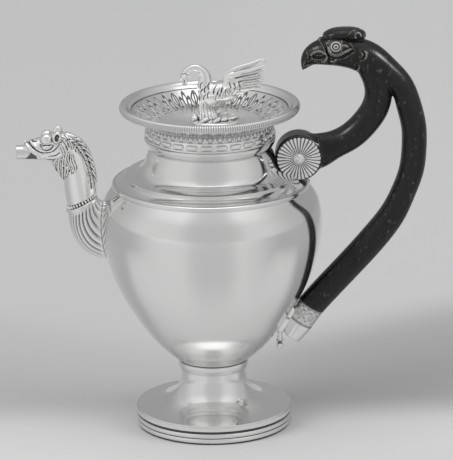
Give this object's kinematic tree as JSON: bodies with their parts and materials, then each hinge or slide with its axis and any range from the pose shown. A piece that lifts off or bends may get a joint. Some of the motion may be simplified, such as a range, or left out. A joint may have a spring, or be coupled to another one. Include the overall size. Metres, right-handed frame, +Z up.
{
  "type": "coffee pot",
  "caption": "Footed silver coffee pot with an animal-head spout, a carved dark wooden handle and a lift-off dish lid topped by a swan.",
  "frame": {"origin": "centre of the foot's underside, on the surface the pot stands on", "axes": "+Z up along the pot's turning axis, spout towards -X, handle towards +X, both in the plane Y = 0"},
  "size_m": [0.2574, 0.1398, 0.2571],
  "materials": {
    "silver": "polished silver",
    "dark_wood": "ebonised and waxed",
    "bone": "polished bone"
  },
  "bodies": {
    "pot": {"foot_rim": "silver", "foot_pedestal": "silver", "stem_collar": "silver", "body_shell": "silver", "shoulder_band": "silver", "neck": "silver", "mouth_ring": "silver", "spout_base": "silver", "spout_collar": "silver", "spout_beads": "silver", "spout_head": "silver", "spout_tube": "silver", "hub_bracket": "silver", "hub_pin": "silver", "hub_nut": "silver", "rosette_front": "silver", "rosette_rear": "silver", "handle_socket": "silver", "socket_band": "silver", "socket_rivet": "silver", "socket_bracket": "silver", "socket_finial": "silver", "handle_wood": "dark_wood", "eye_inlays": "bone"},
    "lid": {"lid_bezel": "silver", "lid_flange": "silver", "lid_gallery": "silver", "lid_beads": "silver", "lid_dish": "silver", "lid_rim": "silver", "swan_base": "silver", "swan_body": "silver", "swan_wing_left": "silver", "swan_wing_right": "silver", "swan_stud": "silver", "swan_washer": "silver", "swan_nut": "silver"}
  },
  "joints": [
    {"name": "lid_lift", "type": "slide", "parent": "pot", "child": "lid", "axis": [0, 0, 1], "range_m": [0, 0.1]}
  ]
}
